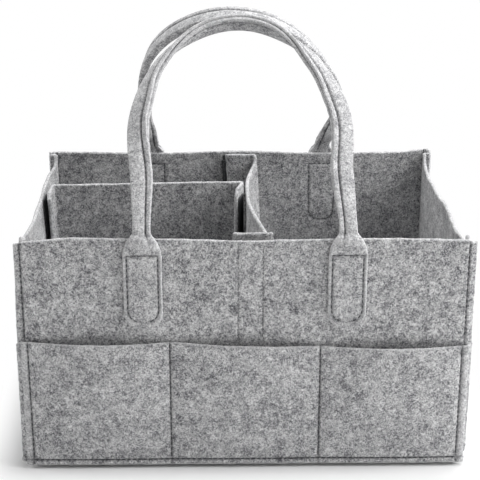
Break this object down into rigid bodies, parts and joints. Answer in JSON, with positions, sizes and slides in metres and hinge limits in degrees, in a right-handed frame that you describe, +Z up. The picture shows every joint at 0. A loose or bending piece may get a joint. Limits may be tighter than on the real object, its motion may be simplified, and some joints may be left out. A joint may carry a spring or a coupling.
{
  "type": "diaper caddy",
  "caption": "Open felt caddy box with outside pockets, a removable cross divider and partition, and carrying handles that fold at their necks.",
  "frame": {"origin": "under the middle of the box, on the surface that it stands on", "axes": "+Z up, +X to the right along the long side as seen from the front, front at -Y"},
  "size_m": [0.3466, 0.2506, 0.3313],
  "materials": {
    "panel_felt": "needle-punched heather grey felt, matt, raw cut edges",
    "handle_felt": "needle-punched heather grey felt, matt, folded and stitched",
    "hook_tape": "woven hook-and-loop tape, almost black, matt"
  },
  "bodies": {
    "box": {"base_panel": "panel_felt", "front_panel": "panel_felt", "back_panel": "panel_felt", "left_end_panel": "panel_felt", "right_end_panel": "panel_felt", "front_pocket_panel": "panel_felt", "back_pocket_panel": "panel_felt", "left_pocket_panel": "panel_felt", "right_pocket_panel": "panel_felt", "front_handle_left_tab": "handle_felt", "front_handle_right_tab": "handle_felt", "rear_handle_left_tab": "handle_felt", "rear_handle_right_tab": "handle_felt", "front_hook_strip": "hook_tape", "back_hook_strip": "hook_tape"},
    "front_handle": {"front_handle_loop": "handle_felt"},
    "rear_handle": {"rear_handle_loop": "handle_felt"},
    "divider": {"cross_divider": "panel_felt", "divider_front_loop_strip": "hook_tape", "divider_back_loop_strip": "hook_tape"},
    "short_partition": {"partition": "panel_felt", "partition_left_hook_patch": "hook_tape", "partition_right_hook_patch": "hook_tape"}
  },
  "joints": [
    {"name": "front_handle_fold", "type": "hinge", "parent": "box", "child": "front_handle", "pos_m": [0, -0.121, 0.186], "axis": [1, 0, 0], "range_deg": [0, 185]},
    {"name": "rear_handle_fold", "type": "hinge", "parent": "box", "child": "rear_handle", "pos_m": [0, 0.121, 0.186], "axis": [-1, 0, 0], "range_deg": [0, 185]},
    {"name": "divider_lift", "type": "slide", "parent": "box", "child": "divider", "axis": [0, 0, 1], "range_m": [0, 0.125]},
    {"name": "partition_lift", "type": "slide", "parent": "box", "child": "short_partition", "axis": [0, 0, 1], "range_m": [0, 0.08]}
  ]
}
